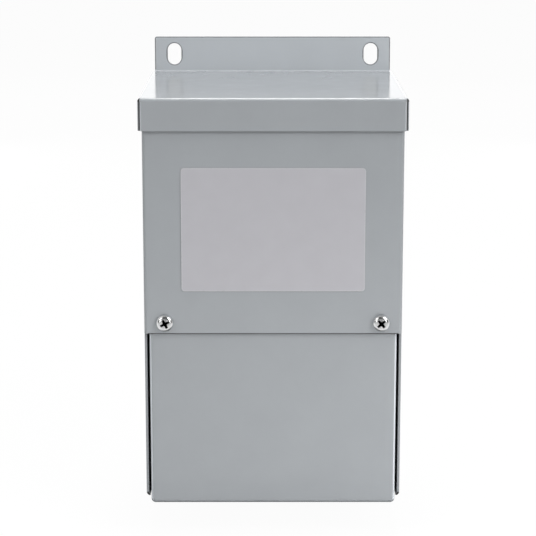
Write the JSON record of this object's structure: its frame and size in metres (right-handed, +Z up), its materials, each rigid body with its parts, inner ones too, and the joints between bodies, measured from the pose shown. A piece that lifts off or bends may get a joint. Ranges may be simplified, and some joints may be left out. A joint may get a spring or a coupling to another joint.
{
  "type": "buck boost transformer",
  "caption": "Small wall-mounted buck boost transformer: grey folded steel case with slotted mounting flanges, lipped lid, bare label and a screwed wiring cover.",
  "frame": {"origin": "middle of the back plate's wall face, at the centre of the four mounting slots", "axes": "+Z up, +Y into the wall, front towards -Y, +X to the right seen from the front"},
  "size_m": [0.0988, 0.094, 0.182],
  "materials": {
    "grey_paint": "satin",
    "label_film": "satin",
    "zinc_screw": "bright zinc plate",
    "potting": "matte"
  },
  "bodies": {
    "root": {"back_plate": "grey_paint", "case_wrap": "grey_paint", "lid": "grey_paint", "bottom_plate": "grey_paint", "wiring_cover": "grey_paint", "nameplate": "label_film", "resin_block": "potting", "left_cover_screw": "zinc_screw", "right_cover_screw": "zinc_screw", "left_knockout_ring": "grey_paint", "left_knockout_disc": "grey_paint", "right_knockout_ring": "grey_paint", "right_knockout_disc": "grey_paint", "bottom_left_knockout_ring": "grey_paint", "bottom_left_knockout_disc": "grey_paint", "bottom_right_knockout_ring": "grey_paint", "bottom_right_knockout_disc": "grey_paint"}
  },
  "joints": []
}
